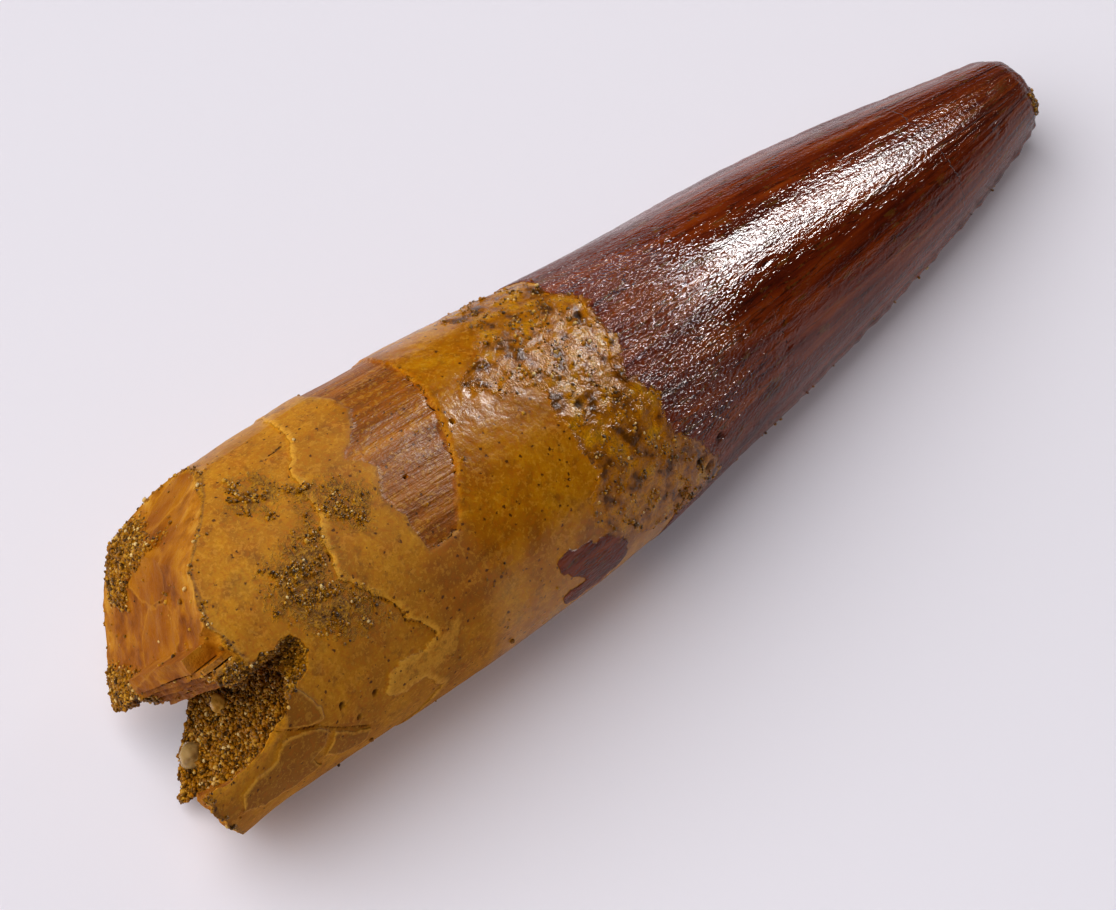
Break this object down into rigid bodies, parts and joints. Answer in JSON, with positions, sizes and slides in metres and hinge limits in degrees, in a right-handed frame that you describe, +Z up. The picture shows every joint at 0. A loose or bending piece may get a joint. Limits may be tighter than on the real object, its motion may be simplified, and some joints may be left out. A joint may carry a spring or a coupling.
{
  "type": "fossil dinosaur tooth",
  "caption": "Blunt cone-shaped fossil tooth lying on its side: fluted enamel crown, broken dentine root, and sandstone in the hollow of the break.",
  "frame": {"origin": "on the surface that the tooth lies on, under the middle of its bounding box", "axes": "+X along the tooth from the broken root to the tip, +Z up"},
  "size_m": [0.0834, 0.0213, 0.0188],
  "materials": {
    "tooth": "satin",
    "matrix": "matte"
  },
  "bodies": {
    "root": {"tooth": "tooth", "matrix": "matrix"}
  },
  "joints": []
}
